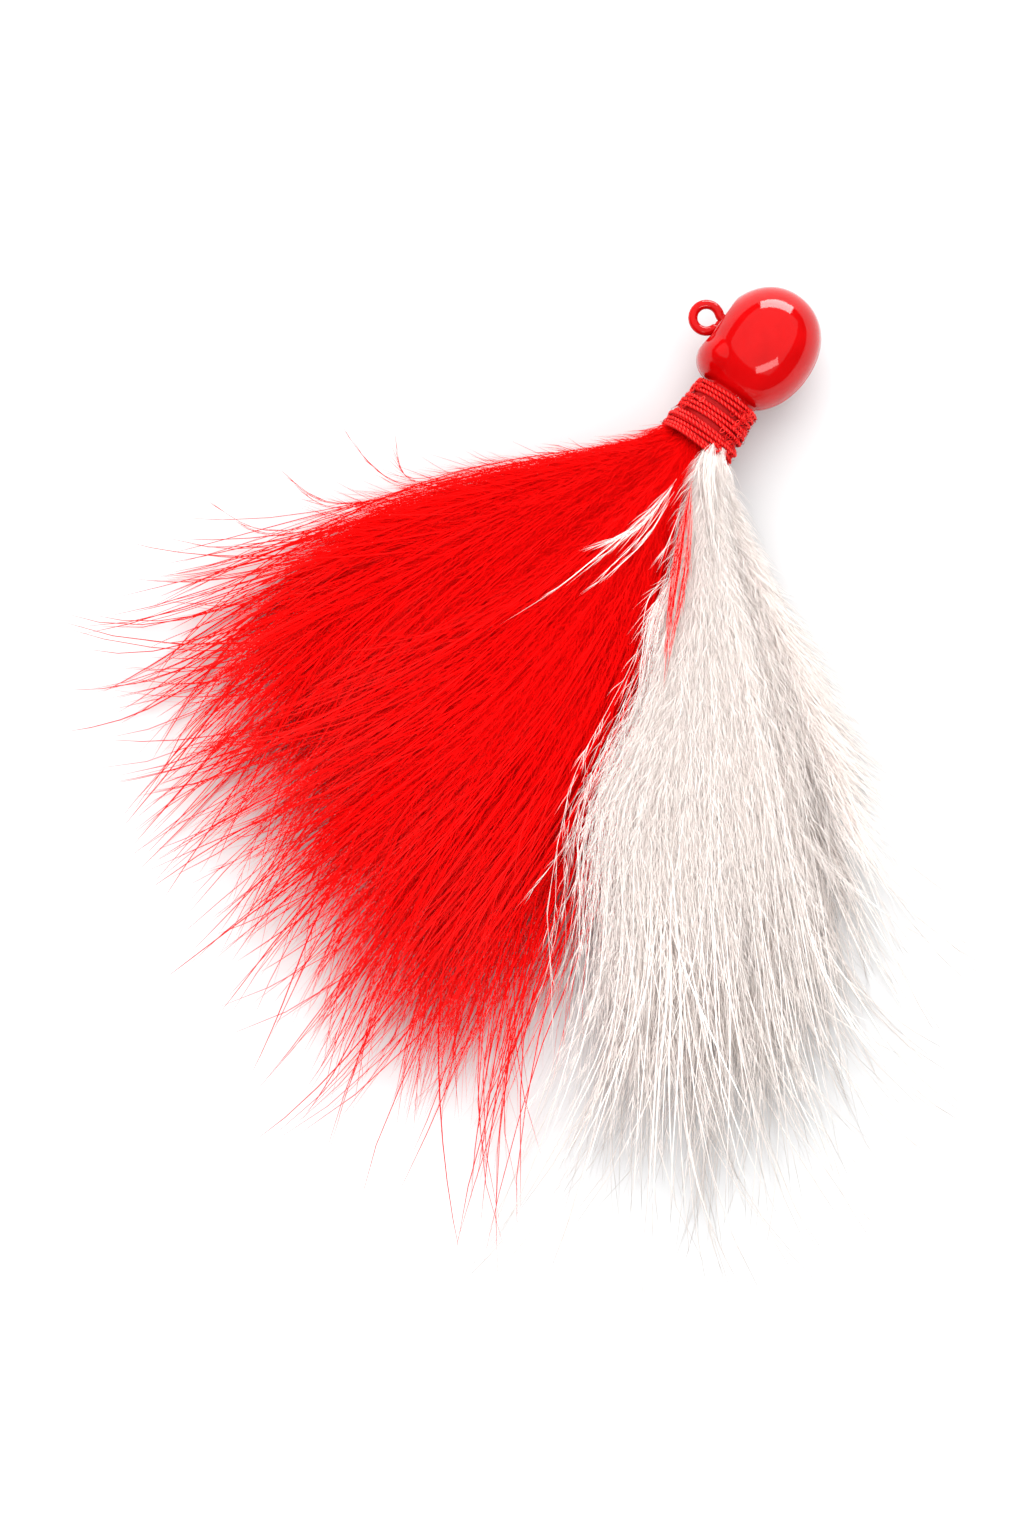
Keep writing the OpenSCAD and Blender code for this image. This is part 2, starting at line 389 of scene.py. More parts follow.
def finish_piece(piece, material, slot, body, *nodes):
    """Gives a piece its look and its body, and hides the CAD nodes that it takes the place of."""
    piece.data.materials.append(material)
    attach(piece, body)
    if nodes:
        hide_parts(*nodes)


# ---------------------------------------------------------------- painted head

HEAD_HALF = np.array([4.62, 3.92, BALL_R])      # the cast ball is a little longer along the hook
SQUARENESS = 2.12           # 2 is an ellipsoid
FILLET = 0.3                # how softly ball, heel, flat and neck run into each other
HEEL_R = 1.9                # rounded lobe between the flat and the neck
HEEL_REACH = 4.85
HEEL_HEIGHT = 3.3
HEEL_ANGLE = math.radians(41)
FLAT_DISH = 0.1             # how fast the flat below the line eye curves away from the eye's own leg, per mm
FLAT_DISH_LIMIT = 30
NECK_R = 2.1
PARTING_TILT = math.radians(9)
PARTING_HEIGHT = 0.035      # the faint casting line
PARTING_WIDTH = 0.1
FAR = 20                    # farther from the ball's centre than any part of the head
HEAD_SEGMENTS, HEAD_RINGS = 384, 240
SLEEVE_R = 1.1


def head_distance(d):
    """How far the painted surface is from the ball's centre in each direction d."""
    r = (np.abs(d / HEAD_HALF) ** SQUARENESS).sum(1) ** (-1 / SQUARENESS)
    heel = (HEEL_REACH - HEEL_R) * np.array([math.cos(HEEL_ANGLE), -math.sin(HEEL_ANGLE), 0])
    low = d * np.array([1, 1, HEEL_R / HEEL_HEIGHT])
    b, size = low @ heel, (low ** 2).sum(1)
    reach = b * b - size * (heel @ heel - HEEL_R ** 2)
    r = smooth_max(r, np.where(reach > 0, (b + np.sqrt(np.maximum(reach, 0))) / size, 0), FILLET)
    down = np.maximum(-d[:, 1], 1e-6)
    depth = SHANK_Y - FLAT_Y
    aside = (d[:, 0] ** 2 + d[:, 2] ** 2) / down ** 2 * depth ** 2
    flat = (depth + 0.05 + FLAT_DISH * np.minimum(aside, FLAT_DISH_LIMIT)) / down
    r = smooth_min(r, np.minimum(flat, FAR), FILLET)
    sine = np.sqrt(np.maximum(1 - d[:, 0] ** 2, 1e-9))
    end = (WIND_X0 - BALL[0] + 0.3) / np.maximum(d[:, 0], 1e-6)
    neck = np.minimum(NECK_R / sine, end)
    r = smooth_max(r, np.where(d[:, 0] > 0, neck, 0), FILLET)
    parting = d @ np.array([0, -math.sin(PARTING_TILT), math.cos(PARTING_TILT)]) * BALL_R
    return r + PARTING_HEIGHT * np.exp(-(parting / PARTING_WIDTH) ** 2)


def make_head():
    bpy.ops.mesh.primitive_uv_sphere_add(segments=HEAD_SEGMENTS, ring_count=HEAD_RINGS, radius=1)
    ball = bpy.context.object
    ball.name = "painted_head"
    mesh = ball.data
    d = np.zeros(len(mesh.vertices) * 3)
    mesh.vertices.foreach_get("co", d)
    d = normalised(d.reshape(-1, 3))
    points = BALL + d * head_distance(d)[:, None]
    mesh.vertices.foreach_set("co", (points * MM).ravel())
    mesh.polygons.foreach_set("use_smooth", np.ones(len(mesh.polygons), bool))
    mesh.update()
    finish_piece(ball, PAINT, "head_paint", "jig", "jig_head")
    line = np.array([[x, SHANK_Y, 0] for x in (WIND_X0 - 0.5, WIND_X0 + 1.5, WIND_X1 - 0.4)])
    sleeve = tubes_object("keeper_sleeve", [(line, SLEEVE_R, 32)])
    finish_piece(sleeve, PAINT, "head_paint", "jig", "jig_head")


def arc(centre, radius, start, end, count):
    a = np.radians(np.linspace(start, end, count))
    return np.stack([centre[0] + radius * np.cos(a), centre[1] + radius * np.sin(a), 0 * a], -1)


LEG_FROM, LEG_TO = 3.4, 1.5         # the eye's own leg, from inside the head to the ring
LEG_ASIDE = 0.52
RING_START, RING_TURN = 128, 322    # degrees


def make_eye():
    """One painted wire: out of the head, round the ring and closed against its own leg."""
    leg = np.array([[0.0, y, 0.0] for y in np.linspace(LEG_FROM, LEG_TO, 8)])
    leg[:, 0] = -LEG_ASIDE * ease((LEG_FROM - leg[:, 1]) / 2.0)
    ring = arc((0, 0), EYE_MEAN_R, RING_START, RING_START + RING_TURN, 72)
    path = relax(np.concatenate([leg, ring]), 3)
    radius = np.full(len(path), EYE_R)
    radius[-4:] = EYE_R * np.array([0.98, 0.9, 0.7, 0.35])
    fillet = arc((-0.1, 1.45), 0.45, 200, 350, 12)
    eye = tubes_object("painted_line_eye", [(path, radius, 24), (fillet, EYE_R * 0.72, 16)])
    finish_piece(eye, PAINT, "head_paint", "jig", "hook_eye")


POINT_TAPER = 2.6           # length over which the wire thins to its point
BARB_BACK = 2.2             # how far behind the point the barb is cut


def make_hook():
    low, high = node_box("hook_shank")
    bend_low, bend_high = node_box("hook_bend")
    gap_r = (bend_high[1] - bend_low[1]) / 2 - WIRE_R
    point_low, _ = node_box("hook_point")
    shank = np.array([[x, SHANK_Y, 0] for x in np.linspace(low[0], high[0], 24)])
    bend = arc((high[0], SHANK_Y - gap_r), gap_r, 90, -90, 48)
    point_y = SHANK_Y - 2 * gap_r
    straight = np.array([[x, point_y, 0] for x in np.linspace(high[0], point_low[0], 30)])
    taper = WIRE_R * np.clip((straight[:, 0] - point_low[0]) / POINT_TAPER, 0.05, 1)
    for name, node, tube in (
        ("hook_wire_shank", "hook_shank", (shank, WIRE_R, 20)),
        ("hook_wire_bend", "hook_bend", (bend, WIRE_R, 20)),
    ):
        finish_piece(tubes_object(name, [tube]), STEEL, "hook_steel", "jig", node)
    barb = np.array([[point_low[0] + BARB_BACK + 0.9 * t, point_y + 0.2 + 0.55 * t, 0] for t in (0, 0.5, 1)])
    point = tubes_object("hook_wire_point", [(straight, taper, 20), (barb, np.array([0.2, 0.12, 0.02]), 10)])
    finish_piece(point, STEEL, "hook_steel", "jig", "hook_point")


make_head()
make_eye()
make_hook()


# ---------------------------------------------------------------- wound thread

THREAD_R = 0.18
PLIES = 3
PLY_R = 0.084
PLY_OFFSET = 0.098
TWIST_PITCH = 0.96
TURN_POINTS = 240
MOUTH_SWELL = 0.18          # how much fuller the winding is at its mouth than the CAD sleeve
LOOP_R = 0.032
FUZZ_R = 0.012
FUZZ = 220
CORE_TURNS = 18
CORE_PLY_R = 0.06
rng = np.random.default_rng(11)


def wind_radius(x):
    """How far the outer thread's own line is from the shank at each x."""
    front = node_box("thread_front_band")[1][2]
    share = (x - WIND_X0) / (WIND_X1 - WIND_X0)
    return front + (MOUTH_R + MOUTH_SWELL - front) * share - THREAD_R


def winding_path(x_start, x_end, turns, lean, swell):
    """A helix round the shank whose two ends are underneath. lean tips its turns, swell lifts them."""
    t = np.linspace(0, 1, turns * TURN_POINTS)
    a = (1.5 + 2 * turns * t) * math.pi
    wobble = 0.03 * np.sin(a * 1.7 + 5 * x_start) + 0.02 * np.sin(a * 3.3 + x_end)
    x = x_start + (x_end - x_start) * t + lean * np.cos(a) + wobble
    r = wind_radius(x) + swell + 0.02 * np.sin(a * 2.3 + 3 * x_start)
    return np.stack([x, SHANK_Y + r * np.cos(a), r * np.sin(a)], -1)


def shank_outward(path, along):
    """At each point of a path, the direction away from the shank, square to the path."""
    out = path - np.array([0, SHANK_Y, 0])
    out[:, 0] = 0
    return normalised(out - along * (out * along).sum(1)[:, None])


def twisted(path, offset, ply_r, sides, phase=0.0):
    """Points, faces and crest heights of the plies twisted round a thread's own line."""
    along = normalised(np.gradient(path, axis=0))
    out = shank_outward(path, along)
    side = np.cross(along, out)
    run = np.concatenate([[0], np.cumsum(np.linalg.norm(np.diff(path, axis=0), axis=1))])
    parts = []
    for k in range(PLIES):
        a = (phase + run / TWIST_PITCH * 2 * math.pi + k * 2 * math.pi / PLIES)[:, None]
        points, quads, tris = tube_arrays(path + offset * (out * np.cos(a) + side * np.sin(a)), ply_r, sides)
        ring = points[:-2].reshape(len(path), sides, 3)
        crest = ((ring - path[:, None]) * out[:, None]).sum(-1) / (offset + ply_r)
        parts.append((points, quads, tris, np.concatenate([crest.ravel(), [0, 0]])))
    return parts


def plain(path, radius, sides, crest):
    points, quads, tris = tube_arrays(path, radius, sides)
    return [(points, quads, tris, np.full(len(points), crest))]


def thread_piece(name, parts, *nodes):
    """One piece of several (points, quads, triangles, crest heights from -1 to 1) lengths of thread."""
    points, faces = joined([part[:3] for part in parts])
    # crest height becomes u, which the thread's colours paint dark low down (painted shade) and pale on top
    # (painted highlight)
    crest = np.clip(0.5 + 0.5 * np.concatenate([part[3] for part in parts]), 0.001, 0.999)
    uv = np.stack([crest, np.full(len(points), 0.5)], -1)
    finish_piece(mesh_object(name, points, faces, uv=uv), THREAD, "red_thread", "jig", *nodes)


def wound_loop(x, a, half_x, half_a, turn, swell):
    """A small loop of loose filament lying on the winding, centred at x and at angle a round the shank."""
    phi = np.linspace(0, 2 * math.pi, 22) + turn
    xs = x + half_x * np.cos(phi) + 0.4 * half_a * np.sin(phi)
    r = wind_radius(xs) + THREAD_R + swell + 0.05 * np.sin(2 * phi + turn)
    angle = a + half_a * np.sin(phi) / r
    return np.stack([xs, SHANK_Y + r * np.cos(angle), r * np.sin(angle)], -1)


def make_loops():
    """The tying thread's loose filaments, felted on both flanks of the winding."""
    parts = []
    for flank, spread, count in ((0.7, 0.4, 80), (2.75, 0.25, 30), (4.7, 1.3, 40)):
        for _ in range(count):
            x = rng.uniform(WIND_X0, WIND_X1 - 0.1)
            a = flank + spread * rng.normal(0, 0.6)
            size = rng.uniform(0.1, 0.26, 2)
            path = wound_loop(x, a, size[0], size[1], rng.uniform(0, 6.3), rng.uniform(-0.04, 0.03))
            # each loop gets a high crest height, so it is painted pale: a painted highlight on the filaments
            # lying on top
            parts += plain(path, LOOP_R, 5, rng.uniform(0.5, 0.98))
    thread_piece("thread_loops", parts)


def make_fuzz():
    """Single filaments that stand off the winding all round."""
    a = rng.uniform(0, 2 * math.pi, FUZZ)
    x = rng.uniform(WIND_X0, WIND_X1, FUZZ)
    r = wind_radius(x) + THREAD_R
    t = np.linspace(0, 1, 6)[None, :]
    length = rng.uniform(0.3, 1.1, FUZZ)[:, None]
    turn = rng.uniform(-1, 1, FUZZ)[:, None]
    rise = rng.uniform(0.0, 0.25, FUZZ)[:, None]
    bow = rng.uniform(-1, 1, FUZZ)[:, None]
    angle = a[:, None] + turn * length * t / r[:, None]
    radius = r[:, None] + rise * length * np.sin(t * 2.2)
    xs = x[:, None] + bow * length * t * 0.6 + 0.15 * np.sin(4 * t + 9 * bow)
    paths = np.stack([xs, SHANK_Y + radius * np.cos(angle), radius * np.sin(angle)], -1)
    # on the thread's colours u runs along each filament, so it is painted dark at its root and pale at its
    # end: painted shade and painted highlight
    fuzz = strand_mesh("thread_fuzz", paths, np.full(paths.shape[:2], FUZZ_R), rng.random(FUZZ))
    finish_piece(fuzz, THREAD, "red_thread", "jig")


# Each winding: where along the shank it starts and ends, its turns, its lean and its swell
WINDINGS = (
    ("wound_front", "thread_front_band", [(3.86, 5.01, 3, 0.08, 0.0)]),
    ("wound_middle", "thread_middle_band", [(5.27, 6.4, 3, 0.1, 0.03)]),
    ("wound_rear", "thread_rear_band", [(6.68, 8.12, 4, 0.1, 0.0)]),
    ("wound_finish", "thread_whip_finish", [(8.0, 8.32, 1, 0.1, -0.04), (6.4, 7.9, 1, 0.3, 0.14)]),
)


def make_thread():
    for name, node, windings in WINDINGS:
        parts = []
        for number, winding in enumerate(windings):
            parts += twisted(winding_path(*winding), PLY_OFFSET, PLY_R, 8, number * 1.3)
        thread_piece(name, parts, node)
    make_core()
    make_loops()
    make_fuzz()


def make_core():
    """The base layer between the bands, painted dark as painted shade: a sleeve with sunk turns on it."""
    low, high = node_box("thread_base_layer")
    line = np.array([[x, SHANK_Y, 0] for x in np.linspace(low[0] + 0.02, high[0] - 0.02, 30)])
    radius = wind_radius(line[:, 0]) - 0.06
    # crest -0.8 gives the sleeve the dark end of the thread's colours: painted shade
    core = plain(line, radius, 48, -0.8)
    for turn in range(CORE_TURNS):
        x = low[0] + 0.1 + (high[0] - low[0] - 0.4) * turn / CORE_TURNS
        sunk = twisted(winding_path(x, x + 0.2, 1, 0.05, -0.2), CORE_PLY_R, CORE_PLY_R, 6, turn)
        # the sunk turns are moved down the colours too: painted shade
        core += [(points, quads, tris, 0.5 * crest - 0.2) for points, quads, tris, crest in sunk]
    thread_piece("wound_core", core, "thread_base_layer")


make_thread()
for node, material in (("red_quill_butts", RED_QUILL), ("white_quill_butts", WHITE_QUILL)):
    frame["nodes"][node].data.materials.clear()
    frame["nodes"][node].data.materials.append(material)


# ---------------------------------------------------------------- plumes

BARB_POINTS = 12
ROOT_BACK = 0.9             # how far inside the winding the bound barbs begin
ROOT_HALF = 2.1             # half the width of the mouth that the bound barbs leave from
STRAIGHT_REACH = 45.0       # a barb runs straight from its place in the mouth until here
TIP_REACH = 45.0            # a lock's length goes by the azimuth that it points to here
LOCK_SIZE = 9               # barbs that draw together into one pointed lock
LOCK_SPREAD = math.radians(2.6)
ROOTED_SHARE = 0.5          # barbs that start in the winding; the others start along the quill
LONG_SHARE = 0.14           # plain locks that reach beyond the dense body
LOOSE_SHARE = 0.16          # plain barbs that leave their lock
CURL, WISP_CURL = 2.8, 5.0          # sideways curl at a lock's tip, in degrees
CURL_LIMIT = 1.7            # in times the usual curl
WAVE = 0.55                 # size of a strand's ripple, in degrees
LOOSE_TURN, LOOSE_LIMIT = 7, 9      # how far a loose barb turns away, in degrees
WISP_CALM = 0.4             # how much less a wisp's barbs spread and ripple
WISP_GATHER = 0.85
GATHER_START, GATHER_RUN = 0.4, 0.55    # the stretch of a lock over which its barbs draw together
BEND_START, BEND_RUN = 6, 42        # the stretch over which a plume curves, in mm
BELLY_PLACE, BELLY_SPREAD = 27, 8   # where a plume's low edge bellies, in mm
FAINT_END, FAINT_RUN = 44, 16       # where a faint wisp has grown to full thickness, and over what length

COARSE = 1.0     # fewer strands are made thicker
BARBS = 1600
WISP_LOCKS = 44
WISP_BARBS = 3
DOWN_PER_BARB = 11
DOWN_LAYERS = 2
FRINGE = 900
FRINGE_POINTS = 5
TUFT_DOWN = 7
BARB_R = 0.030 * COARSE
WISP_R = 0.076
TUFT_R = 0.026
DOWN_R = 0.018 * COARSE
FRINGE_R = 0.02 * COARSE
FRINGE_TAPER = np.array([1.0, 1.0, 0.9, 0.7, 0.3])
DOWN_TAPER = np.array([1.0, 0.8, 0.3])
BARB_TAPER = np.clip(1.25 - np.linspace(0, 1, BARB_POINTS) ** 4, 0.15, 1)
WISP_TAPER = np.linspace(1.45, 0.3, BARB_POINTS)
# down ends its run of colour short of the grey painted shade at the tips
DOWN_TIP = 0.6
DOWN_TURN, TUFT_DOWN_TURN = 42, 17      # widest angle between down and its barb, in degrees
BARE_BARB, BARE_WISP, BARE_TUFT = 0.12, 0.45, 0.1       # share at the tip without down

# How far the longest tips, and the dense body, reach from the mouth: azimuth in degrees, reach in mm
FAN_REACH = [(-62, 20), (-52, 31), (-46, 40), (-34, 48), (-22, 51), (-10, 52.5), (0, 56), (8, 60.5),
             (17, 63), (30, 63.5), (43, 60), (54, 47), (64, 24)]
BODY_REACH = [(-62, 11), (-52, 13), (-46, 15.5), (-40, 18.5), (-34, 22.5), (-28, 27.5), (-22, 34),
              (-16, 38), (-10, 40.5), (-4, 43), (0, 44.5), (8, 49.5), (14, 53), (20, 51), (28, 48),
              (36, 46.5), (42, 43.5), (48, 36), (54, 25), (60, 18), (66, 12)]

# down_length: length of the down on its barbs, in mm; stray: how untidy its locks are
# lean: the lowest and highest share of the plume's half width that its locks fan out to
# bend: how far the barbs curve sideways along their length, in degrees
# bulge: how far the barbs of the low edge belly sideways, in degrees
# root: how far along the mouth the plume is bound, where 0 is its middle, in mm
# fringe: the side of the plume, -1 or 1, whose edge carries loose down
# bold: how thick its barbs are; deep: how far its locks lie above and below each other
# gather: how far the barbs of a lock draw together at its tip
# faint: how much thinner its wisps are where they lie on the dense body
RED = {"down_length": 2.4, "stray": 1.5, "lean": (-1.1, 1.1), "bend": 0, "bulge": 0, "fringe": 0,
       "bold": 1.0, "deep": 1.0, "gather": 0.7, "faint": 0.0}
WHITE = {"down_length": 2.6, "stray": 1.8, "lean": (-1.1, 1.1), "bend": 0, "bulge": 0, "fringe": 0,
         "bold": 0.62, "deep": 0.35, "gather": 0.6, "faint": 0.75}
PLUMES = {
    "red_plume_1": {**RED, "root": -1.5, "lean": (0.0, 1.2), "bend": 9, "fringe": -1},
    "red_plume_2": {**RED, "root": -0.9, "bend": -3},
    "red_plume_3": {**RED, "root": -0.1, "bend": -6, "lean": (-1.1, 1.35)},
    "red_plume_4": {**RED, "root": -1.3, "bend": 4, "lean": (-0.55, 1.2), "fringe": -1},
    "red_plume_5": {**RED, "root": -0.2, "bend": -11, "lean": (-1.2, 1.35), "stray": 1.0},
    "white_plume_1": {**WHITE, "root": 1.5, "bend": -3, "lean": (-1.2, 0.75), "fringe": 1},
    "white_plume_2": {**WHITE, "root": 1.3},
    "white_plume_3": {**WHITE, "root": 1.4, "bend": -2, "lean": (-0.9, 1.1), "fringe": 1},
    "white_plume_4": {**WHITE, "root": 1.1, "bulge": -4.5, "lean": (-0.68, 1.2), "stray": 1.3},
}


def reach_at(table, theta):
    angle, reach = np.array(table, float).T
    return np.interp(np.degrees(theta), angle, reach)


class Plume:
    """One plume's place, read from its CAD quill and barbs."""

    def __init__(self, name):
        quill = node_points(name + "_quill") - PIVOT
        barbs = node_points(name + "_barbs") - PIVOT
        reach = np.hypot(quill[:, 0], quill[:, 1])
        tip = quill[reach > reach.max() - 0.1].mean(0)
        self.name = name
        self.spec = PLUMES[name]
        self.aim = math.atan2(tip[1], tip[0])
        self.quill_len = reach.max()
        self.half = np.abs(np.arctan2(barbs[:, 1], barbs[:, 0]) - self.aim).max()
        both = np.concatenate([quill, barbs])
        reach = np.hypot(both[:, 0], both[:, 1])
        stations = np.linspace(0, reach.max(), 40)
        near = [np.abs(reach - s) < 1.2 for s in stations]
        self.stations = stations[[n.any() for n in near]]
        self.heights = np.array([both[n, 2].mean() for n in near if n.any()])

    def height(self, r):
        return np.interp(np.maximum(r, 0), self.stations, self.heights)

    def sweep(self, r):
        """The sideways curve shared by the plume's barbs."""
        return math.radians(self.spec["bend"]) * (ease((r - BEND_START) / BEND_RUN) - 0.4)

    def belly(self, r, lean):
        """The further curve of the barbs along the low edge."""
        size = math.radians(self.spec["bulge"]) * np.exp(-((r - BELLY_PLACE) / BELLY_SPREAD) ** 2)
        return size * ease(0.5 - lean)

    def place(self, r, theta, side):
        """x and y at reach r and azimuth theta of a strand bound at side along the mouth."""
        out = np.maximum(r, 0)
        return (PIVOT[0] + out * np.cos(theta) + np.minimum(r, 0),
                PIVOT[1] + out * np.sin(theta) + side * np.clip(1 - r / STRAIGHT_REACH, 0, 1))

    def blend(self, piece):
        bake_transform(piece)


def wave_of(r, rng, count, degrees):
    """A slow sideways ripple, different for each of count strands."""
    size = np.radians(rng.normal(0, degrees, count))[:, None]
    length = rng.uniform(4, 9, count)[:, None]
    start = rng.uniform(0, 6.3, count)[:, None]
    return size * np.sin(r / length + start) * np.clip(r / 35, 0, 1.2)


def make_locks(plume, count, rng):
    """The lean, reach, tip curl and level of a plume's locks, and which of them are wisps."""
    spec = plume.spec
    wisp = np.arange(count) < WISP_LOCKS
    low, high = spec["lean"]
    lean = low + (high - low) * rng.beta(1.5, 1.5, count)
    outer = low - 0.5 if spec["fringe"] < 0 else low + 0.25
    lean[:WISP_LOCKS] = outer + (high - outer) * (np.arange(WISP_LOCKS) + rng.random(WISP_LOCKS)) / WISP_LOCKS
    far = plume.aim + plume.half * lean + plume.sweep(TIP_REACH)
    longest, body = reach_at(FAN_REACH, far), reach_at(BODY_REACH, far)
    reach = np.where(rng.random(count) < LONG_SHARE, body + (longest - body) * rng.uniform(0.1, 0.65, count),
                     body * (0.55 + 0.5 * rng.random(count) ** 0.5))
    reach = np.where(wisp, longest * (0.82 + 0.2 * rng.random(count) ** 1.3), reach)
    curl = np.clip(rng.normal(0, 1, count), -CURL_LIMIT, CURL_LIMIT) * np.where(wisp, WISP_CURL, CURL)
    return lean, reach, np.radians(curl) * spec["stray"], rng.uniform(-1, 1, count), wisp


def make_barbs(plume, count, seed):
    """Centre lines (count, BARB_POINTS, 3), radii and shade numbers of a plume's barbs.

    Most barbs end inside the dense part of the fan. The rest are wisps: long bold barbs that reach its
    outline one by one, each with a few companions that draw in to it."""
    rng = np.random.default_rng(seed)
    spec = plume.spec
    locks = count // LOCK_SIZE
    lean, reach, curl, level, wisp_lock = make_locks(plume, locks, rng)
    lock = np.concatenate([np.repeat(np.arange(WISP_LOCKS), WISP_BARBS),
                           rng.integers(WISP_LOCKS, locks, count - WISP_LOCKS * WISP_BARBS)])
    wisp = wisp_lock[lock]
    calm = np.where(wisp, WISP_CALM, 1)
    lead = np.arange(count) % WISP_BARBS == 0
    across = rng.normal(0, 1, count)
    end = reach[lock] * np.where(wisp & lead, 1.0, 1 - 0.25 * rng.random(count) ** 1.6)
    rooted = rng.random(count) < ROOTED_SHARE
    on_quill = np.minimum(plume.quill_len, 0.8 * end) * rng.random(count) ** 0.9
    origin = np.where(rooted, -ROOT_BACK, on_quill)
    t = np.linspace(0, 1, BARB_POINTS)[None, :]
    r = origin[:, None] + (end - origin)[:, None] * t
    progress = np.clip(r / reach[lock][:, None], 0, 1)

    settle = np.maximum(6.0, 0.5 * origin + 5.0)[:, None]
    opened = 1 - np.exp(-np.maximum(r - origin[:, None], 0) / settle)
    drawn_in = ease((progress - GATHER_START) / GATHER_RUN)
    gather = 1 - np.where(wisp, WISP_GATHER, spec["gather"])[:, None] * drawn_in
    swing = plume.half * lean[lock][:, None] * opened + (across * calm * LOCK_SPREAD)[:, None] * gather
    swing += curl[lock][:, None] * progress ** 3
    swing += wave_of(r, rng, count, WAVE * spec["stray"]) * calm[:, None]
    loose = ~wisp & (rng.random(count) < LOOSE_SHARE)
    away = np.radians(np.clip(rng.normal(0, LOOSE_TURN, count), -LOOSE_LIMIT, LOOSE_LIMIT))
    swing += np.where(loose, away, 0)[:, None] * progress ** 3
    theta = plume.aim + swing + plume.sweep(r) + plume.belly(r, lean[lock][:, None])

    side = np.clip(spec["root"] + 0.4 * lean[lock] + 0.22 * across, -ROOT_HALF, ROOT_HALF)[:, None]
    x, y = plume.place(r, theta, side)
    depth = spec["deep"] * (0.25 + 0.35 * ease(r / 18))
    z = plume.height(r) + level[lock][:, None] * depth
    z += rng.normal(0, 0.16, count)[:, None] * ease(r / 8) * gather
    rise = np.where(loose | wisp, rng.normal(0.35, 0.4, count), rng.normal(0, 0.2, count))
    z += rise[:, None] * np.sin(math.pi * t)
    z = np.maximum(z, FLOOR_Z + 0.06 + 0.25 * rng.random(count)[:, None])
    shade = np.clip(0.5 + 0.5 * level[lock] * rng.random(locks)[lock] + 0.1 * across, 0, 1)
    bold_wisp = WISP_R * WISP_TAPER * (1 - spec["faint"] * ease((FAINT_END - r) / FAINT_RUN))
    radius = np.where(wisp[:, None], bold_wisp, spec["bold"] * BARB_R * BARB_TAPER)
    radius = radius * rng.uniform(0.8, 1.2, count)[:, None]
    radius = radius * (0.4 + 0.6 * ease((r - 6) / 34))
    return np.stack([x, y, z], -1), radius, 0.7 * shade + 0.3 * rng.random(count)


def make_fringe(plume, seed):
    """Loose down along one edge of a plume, sloping out of it: centre lines (FRINGE, FRINGE_POINTS, 3)."""
    rng = np.random.default_rng(seed)
    side = plume.spec["fringe"]
    lean = plume.spec["lean"][side > 0]
    r = rng.uniform(2.5, 0.8 * plume.quill_len, FRINGE)
    inside = 0.25 * rng.random(FRINGE) ** 2
    theta = plume.aim + plume.half * (lean - side * inside) * (1 - np.exp(-r / 6)) + plume.sweep(r)
    root = plume.spec["root"] + side * 0.4 * (1 - inside)
    start = np.stack([*plume.place(r, theta, root), plume.height(r) + rng.normal(0, 0.4, FRINGE)], -1)
    size = (1.2 + 4.6 * ease(r / 16)) * rng.uniform(0.4, 1.3, FRINGE)
    out = side * np.radians(rng.uniform(4, 38, FRINGE))
    turn = -side * np.radians(rng.normal(10, 12, FRINGE))
    rise = rng.normal(0.05, 0.12, FRINGE)
    t = np.linspace(0, 1, FRINGE_POINTS)[None, :]
    heading = (theta + out)[:, None] + turn[:, None] * t
    step = np.stack([np.cos(heading), np.sin(heading), np.broadcast_to(rise[:, None], heading.shape)], -1)
    steps = np.concatenate([0 * step[:, :1], np.cumsum(step[:, 1:], 1)], 1)
    paths = start[:, None] + steps * size[:, None, None] / (FRINGE_POINTS - 1)
    paths[..., 2] = np.maximum(paths[..., 2], FLOOR_Z + 0.05)
    return paths, rng.random(FRINGE)


def make_down(paths, per_barb, seed, length, bare, widest):
    """Barbules: fine short hairs on both sides of every barb, swept towards its tip.

    bare is the share of each barb's length, at its tip, that carries none; widest is in degrees."""
    rng = np.random.default_rng(seed)
    n, k, _ = paths.shape
    total = n * per_barb
    which = np.repeat(np.arange(n), per_barb)
    place = rng.random(total) ** 0.9 * (1 - np.broadcast_to(bare, n)[which]) * (k - 1)
    i = np.minimum(place.astype(int), k - 2)
    share = (place - i)[:, None]
    start = paths[which, i] * (1 - share) + paths[which, i + 1] * share
    along = normalised(paths[which, i + 1] - paths[which, i])
    across = normalised(np.cross(along, np.array([0.0, 0.0, 1.0])))
    up = np.cross(across, along)
    late = place / (k - 1)
    turn = rng.choice([-1.0, 1.0], total) * np.radians(rng.uniform(6, widest, total) * (1 - 0.65 * late))
    rise = np.radians(rng.normal(0, 10, total))
    size = length * rng.uniform(0.5, 1.25, total) * (1.1 - 0.65 * late)
    heading = along * np.cos(turn)[:, None] + across * np.sin(turn)[:, None] + up * np.sin(rise)[:, None]
    middle = start + heading * (size * 0.5)[:, None]
    end = middle + normalised(heading + along * 0.9) * (size * 0.5)[:, None]
    down = np.stack([start, middle, end], 1)
    down[..., 2] = np.maximum(down[..., 2], FLOOR_Z + 0.03)
    return down, which


